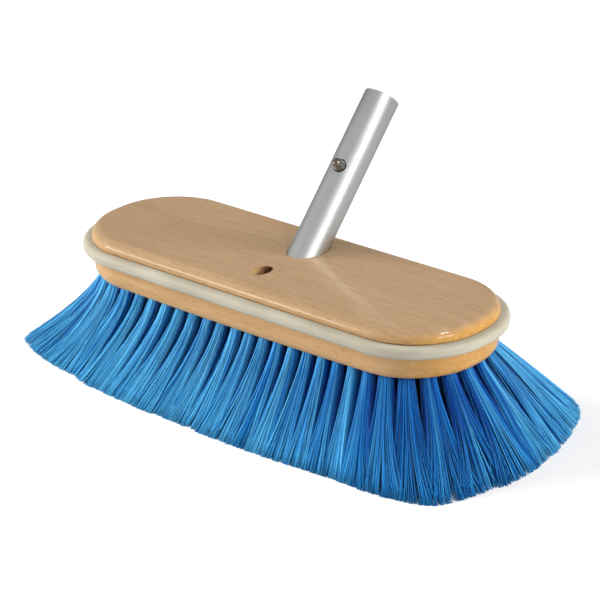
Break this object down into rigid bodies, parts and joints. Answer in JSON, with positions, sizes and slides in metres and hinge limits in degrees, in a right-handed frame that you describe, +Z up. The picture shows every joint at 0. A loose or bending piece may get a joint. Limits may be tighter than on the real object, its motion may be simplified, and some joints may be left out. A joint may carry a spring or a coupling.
{
  "type": "pool wall brush",
  "caption": "Oval wooden scrubbing brush head with flared bristles, a soft bumper round its edge and a slanted tube with a spring button that locks into a pole.",
  "frame": {"origin": "on the plane of the bristle tips, which is the floor, under the middle of the block", "axes": "+X along the block, +Y the way the tube leans, +Z up out of the block's top"},
  "size_m": [0.3121, 0.1527, 0.1436],
  "materials": {
    "wood": "satin lacquer over pale beech",
    "bumper": "soft, slightly translucent",
    "tube": "satin",
    "screw": "plain",
    "button": "polished",
    "spring": "plain spring steel",
    "bristle": "glossy blue filaments"
  },
  "bodies": {
    "head": {"block": "wood", "bumper": "bumper", "handle_tube": "tube", "fixing_screw": "screw", "clip_fixed_leg": "spring", "bristles_outer": "bristle", "bristles_second": "bristle", "bristles_inner": "bristle"},
    "button": {"snap_button": "button", "clip_moving_leg": "spring"}
  },
  "joints": [
    {"name": "button_press", "type": "hinge", "parent": "head", "child": "button", "pos_m": [0.00069, 0.02046, 0.0819], "axis": [-0.9848, -0.1286, 0.1166], "range_deg": [0, 9.5], "stiffness_Nm_per_rad": 3.5, "springref_deg": -1.72}
  ]
}
